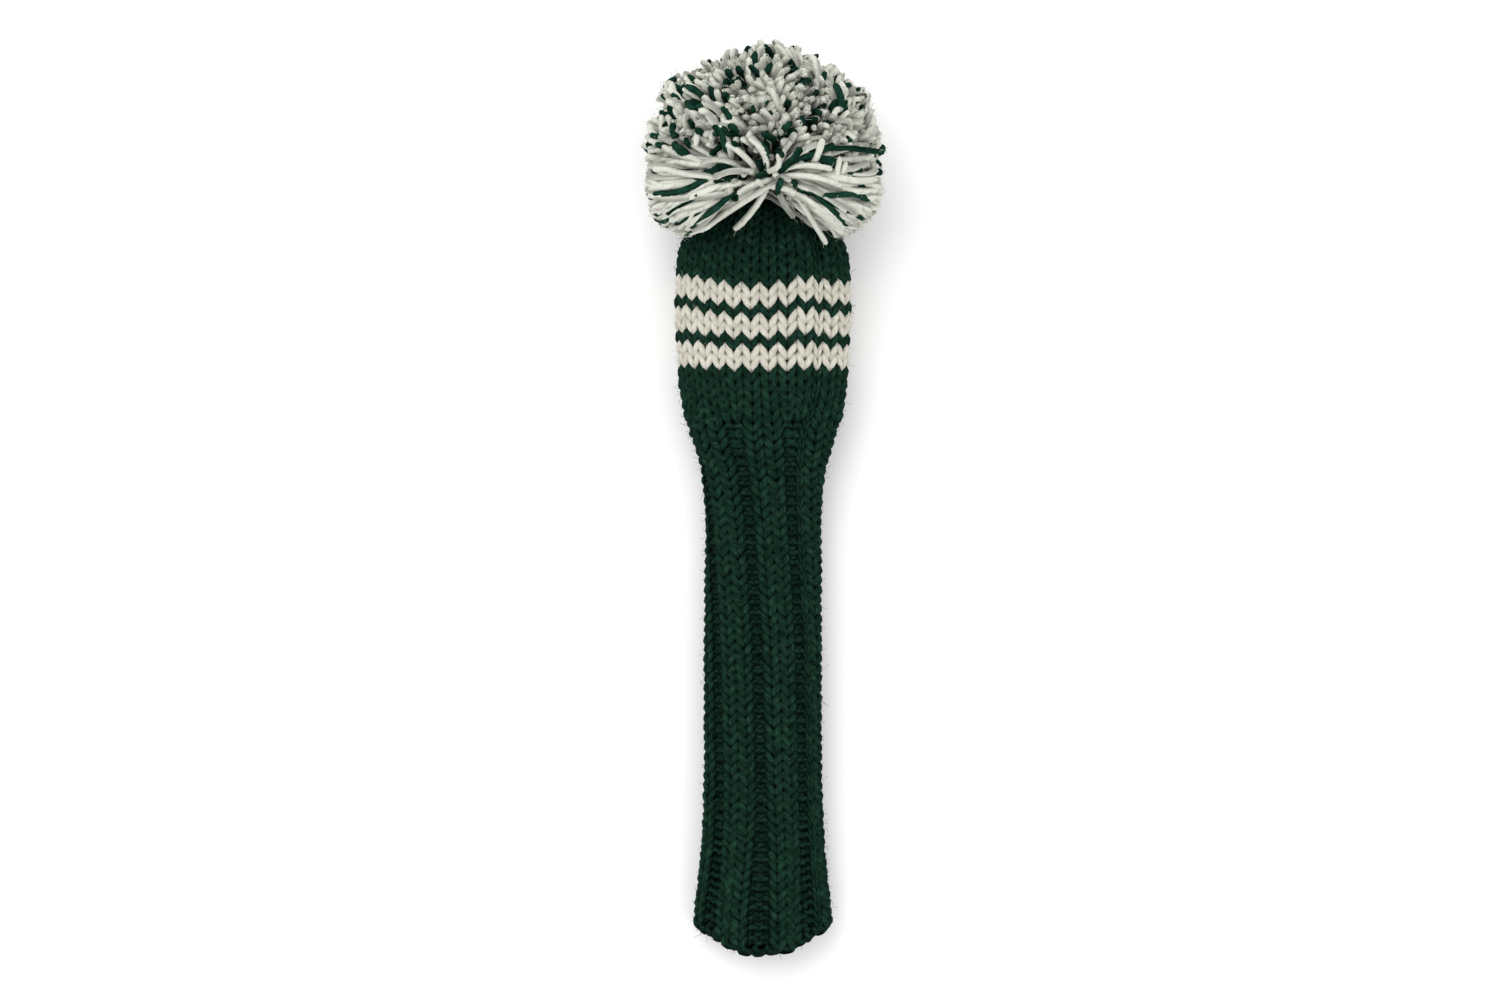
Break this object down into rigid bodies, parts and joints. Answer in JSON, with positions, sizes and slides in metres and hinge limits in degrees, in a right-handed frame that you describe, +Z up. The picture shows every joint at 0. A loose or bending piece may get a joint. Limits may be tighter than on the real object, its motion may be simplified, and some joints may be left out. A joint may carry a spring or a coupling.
{
  "type": "driver head cover",
  "caption": "Hand-knit sock-style cover for the head of a golf driver: long ribbed neck, smooth striped head, drawn-up crown and a full yarn pom-pom tied on top.",
  "frame": {"origin": "on the resting surface, under the middle of the cover's length and width", "axes": "+Y from the open hem to the pom-pom, +Z up through the flattened tube, +X to the right as the pom-pom points away"},
  "size_m": [0.12, 0.457, 0.1023],
  "materials": {
    "green_knit": "bulky wool-blend yarn, dark green",
    "seam_yarn": "mattress seam, same dark green yarn",
    "white_knit": "bulky wool-blend yarn, cream white",
    "pompom_white": "cut bulky yarn, cream white",
    "pompom_green": "cut bulky yarn, dark green",
    "tie_yarn": "twisted tie yarn, dark green"
  },
  "bodies": {
    "head": {"head_body": "green_knit", "head_seam_yarn": "seam_yarn", "shoulder_rib": "green_knit", "shoulder_seam_yarn": "seam_yarn", "lower_white_stripe": "white_knit", "lower_green_stripe": "green_knit", "middle_white_stripe": "white_knit", "upper_green_stripe": "green_knit", "upper_white_stripe": "white_knit", "crown_panel": "green_knit", "crown_drawstring": "green_knit", "carried_white_yarn": "white_knit", "neck_fold_rib": "green_knit", "neck_fold_seam_yarn": "seam_yarn"},
    "mid_neck": {"mid_neck_rib": "green_knit", "mid_neck_seam_yarn": "seam_yarn", "neck_swing_rib": "green_knit", "neck_swing_seam_yarn": "seam_yarn"},
    "lower_neck": {"lower_neck_rib": "green_knit", "lower_neck_seam_yarn": "seam_yarn", "cuff_bend_rib": "green_knit", "cuff_bend_seam_yarn": "seam_yarn"},
    "cuff": {"cuff_rib": "green_knit", "cuff_seam_yarn": "seam_yarn", "cast_on_hem": "green_knit"},
    "tie": {"pompom_tie_tails": "tie_yarn", "anchor_knot": "tie_yarn"},
    "pompom": {"pompom_tie": "tie_yarn", "pompom_white_strands": "pompom_white", "pompom_green_strands": "pompom_green", "pompom_left_skirt_strands": "pompom_white", "pompom_right_skirt_strands": "pompom_white"}
  },
  "joints": [
    {"name": "neck_fold", "type": "hinge", "parent": "head", "child": "mid_neck", "pos_m": [0, 0.002, 0.0175], "axis": [-1, 0, 0], "range_deg": [-60, 90], "deforming": ["neck_fold_rib", "neck_fold_seam_yarn"]},
    {"name": "neck_swing", "type": "hinge", "parent": "mid_neck", "child": "lower_neck", "pos_m": [0, -0.068, 0.0159], "axis": [0, 0, 1], "range_deg": [-50, 50], "deforming": ["neck_swing_rib", "neck_swing_seam_yarn"]},
    {"name": "cuff_fold", "type": "hinge", "parent": "lower_neck", "child": "cuff", "pos_m": [0, -0.15, 0.0155], "axis": [-1, 0, 0], "range_deg": [-60, 90], "deforming": ["cuff_bend_rib", "cuff_bend_seam_yarn"]},
    {"name": "pom_sway", "type": "hinge", "parent": "head", "child": "tie", "pos_m": [0, 0.1475, 0.03], "axis": [0, 0, 1], "range_deg": [-25, 25]},
    {"name": "pom_nod", "type": "hinge", "parent": "tie", "child": "pompom", "pos_m": [0, 0.1535, 0.03], "axis": [1, 0, 0], "range_deg": [-25, 25], "deforming": ["pompom_left_skirt_strands", "pompom_right_skirt_strands"]}
  ]
}
